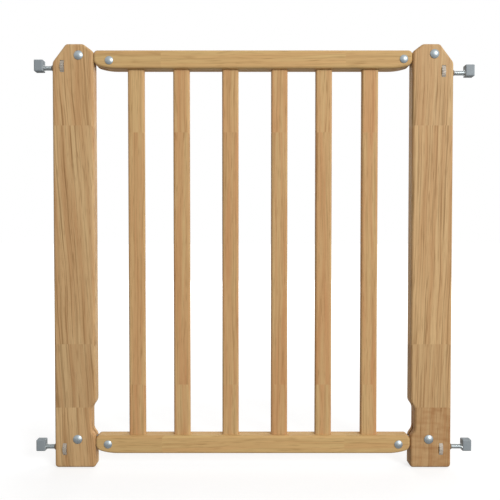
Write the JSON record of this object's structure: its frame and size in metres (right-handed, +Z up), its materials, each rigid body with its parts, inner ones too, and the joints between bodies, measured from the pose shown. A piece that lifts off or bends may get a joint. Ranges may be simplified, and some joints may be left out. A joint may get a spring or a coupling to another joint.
{
  "type": "pressure-fit safety gate",
  "caption": "Wooden pressure-fit child safety gate: barred panel hung on toggle links between two posts with screw feet and wall pads.",
  "frame": {"origin": "centre of the whole gate's footprint, on the floor under the posts", "axes": "+X to the right across the gate seen from the front, -Y towards the viewer in front, +Z up"},
  "size_m": [0.781, 0.0358, 0.75],
  "materials": {
    "oak": "clear satin varnish on finger-jointed hardwood",
    "link_steel": "rolled flat steel",
    "bolt_zinc": "bright zinc plate, domed heads",
    "wheel_steel": "zinc plate, grooved rim",
    "rod_zinc": "zinc plated thread",
    "pad_rubber": "matte grey rubber",
    "bush_plastic": "matte brown plastic"
  },
  "bodies": {
    "left_post": {"left_post": "oak", "post_bolt_top_left": "bolt_zinc", "post_bolt_bottom_left": "bolt_zinc", "post_screw_top_left": "bolt_zinc", "post_screw_bottom_left": "bolt_zinc", "rod_bush_top_left": "bush_plastic", "rod_bush_bottom_left": "bush_plastic"},
    "right_post": {"right_post": "oak", "post_bolt_top_right": "bolt_zinc", "post_bolt_bottom_right": "bolt_zinc", "post_screw_top_right": "bolt_zinc", "post_screw_bottom_right": "bolt_zinc", "rod_bush_top_right": "bush_plastic", "rod_bush_bottom_right": "bush_plastic"},
    "panel": {"top_rail": "oak", "bottom_rail": "oak", "baluster_1": "oak", "baluster_2": "oak", "baluster_3": "oak", "baluster_4": "oak", "baluster_5": "oak", "baluster_6": "oak", "rail_bolt_top_left": "bolt_zinc", "rail_bolt_top_right": "bolt_zinc", "rail_bolt_bottom_left": "bolt_zinc", "rail_bolt_bottom_right": "bolt_zinc", "rail_screw_top_left": "bolt_zinc", "rail_screw_top_right": "bolt_zinc", "rail_screw_bottom_left": "bolt_zinc", "rail_screw_bottom_right": "bolt_zinc"},
    "link_top_left": {"link_top_left": "link_steel"},
    "link_top_right": {"link_top_right": "link_steel"},
    "link_bottom_left": {"link_bottom_left": "link_steel"},
    "link_bottom_right": {"link_bottom_right": "link_steel"},
    "wheel_top_left": {"adjusting_wheel_top_left": "wheel_steel"},
    "wheel_top_right": {"adjusting_wheel_top_right": "wheel_steel"},
    "wheel_bottom_left": {"adjusting_wheel_bottom_left": "wheel_steel"},
    "wheel_bottom_right": {"adjusting_wheel_bottom_right": "wheel_steel"},
    "foot_top_left": {"threaded_rod_top_left": "rod_zinc", "jam_nut_top_left": "rod_zinc", "wall_pad_top_left": "pad_rubber"},
    "foot_top_right": {"threaded_rod_top_right": "rod_zinc", "jam_nut_top_right": "rod_zinc", "wall_pad_top_right": "pad_rubber"},
    "foot_bottom_left": {"threaded_rod_bottom_left": "rod_zinc", "jam_nut_bottom_left": "rod_zinc", "wall_pad_bottom_left": "pad_rubber"},
    "foot_bottom_right": {"threaded_rod_bottom_right": "rod_zinc", "jam_nut_bottom_right": "rod_zinc", "wall_pad_bottom_right": "pad_rubber"}
  },
  "joints": [
    {"name": "panel_lift", "type": "hinge", "parent": "left_post", "child": "link_top_left", "pos_m": [-0.30765, 0, 0.7296], "axis": [0, -1, 0], "range_deg": [0, 39.2]},
    {"name": "top_left_rail_pivot", "type": "hinge", "parent": "link_top_left", "child": "panel", "pos_m": [-0.25395, 0, 0.7206], "axis": [0, -1, 0], "range_deg": [-39.2, 0]},
    {"name": "bottom_left_post_pivot", "type": "hinge", "parent": "left_post", "child": "link_bottom_left", "pos_m": [-0.31325, 0, 0.0511], "axis": [0, -1, 0], "range_deg": [0, 39.2]},
    {"name": "top_right_rail_pivot", "type": "hinge", "parent": "panel", "child": "link_top_right", "pos_m": [0.26295, 0, 0.723], "axis": [0, -1, 0], "range_deg": [-39.2, 0]},
    {"name": "top_right_post_pivot", "type": "hinge", "parent": "link_top_right", "child": "right_post", "pos_m": [0.31665, 0, 0.732], "axis": [0, -1, 0], "range_deg": [0, 39.2]},
    {"name": "bottom_right_rail_pivot", "type": "hinge", "parent": "panel", "child": "link_bottom_right", "pos_m": [0.25725, 0, 0.042], "axis": [0, -1, 0], "range_deg": [-39.2, 0]},
    {"name": "top_left_wheel_turn", "type": "hinge", "parent": "left_post", "child": "wheel_top_left", "pos_m": [-0.33655, 0, 0.7105], "axis": [-1, 0, 0], "range_deg": [-2880, 4320]},
    {"name": "top_left_foot_slide", "type": "slide", "parent": "left_post", "child": "foot_top_left", "axis": [-1, 0, 0], "range_m": [-0.01001, 0.01501]},
    {"name": "top_right_wheel_turn", "type": "hinge", "parent": "right_post", "child": "wheel_top_right", "pos_m": [0.33305, 0, 0.7019], "axis": [1, 0, 0], "range_deg": [-2880, 4320]},
    {"name": "top_right_foot_slide", "type": "slide", "parent": "right_post", "child": "foot_top_right", "axis": [1, 0, 0], "range_m": [-0.01001, 0.01501]},
    {"name": "bottom_left_wheel_turn", "type": "hinge", "parent": "left_post", "child": "wheel_bottom_left", "pos_m": [-0.33655, 0, 0.0335], "axis": [-1, 0, 0], "range_deg": [-2880, 4320]},
    {"name": "bottom_left_foot_slide", "type": "slide", "parent": "left_post", "child": "foot_bottom_left", "axis": [-1, 0, 0], "range_m": [-0.01001, 0.01501]},
    {"name": "bottom_right_wheel_turn", "type": "hinge", "parent": "right_post", "child": "wheel_bottom_right", "pos_m": [0.33305, 0, 0.0337], "axis": [1, 0, 0], "range_deg": [-2880, 4320]},
    {"name": "bottom_right_foot_slide", "type": "slide", "parent": "right_post", "child": "foot_bottom_right", "axis": [1, 0, 0], "range_m": [-0.01001, 0.01501]}
  ],
  "couplings": [
    {"joint": "top_left_rail_pivot", "follows": "panel_lift", "ratio": -1},
    {"joint": "bottom_left_post_pivot", "follows": "panel_lift", "ratio": 1},
    {"joint": "top_right_rail_pivot", "follows": "panel_lift", "ratio": -1},
    {"joint": "top_right_post_pivot", "follows": "panel_lift", "ratio": 1},
    {"joint": "bottom_right_rail_pivot", "follows": "panel_lift", "ratio": -1},
    {"joint": "top_left_foot_slide", "follows": "top_left_wheel_turn", "m_per_rad": 0.00019894},
    {"joint": "top_right_foot_slide", "follows": "top_right_wheel_turn", "m_per_rad": 0.00019894},
    {"joint": "bottom_left_foot_slide", "follows": "bottom_left_wheel_turn", "m_per_rad": 0.00019894},
    {"joint": "bottom_right_foot_slide", "follows": "bottom_right_wheel_turn", "m_per_rad": 0.00019894}
  ]
}
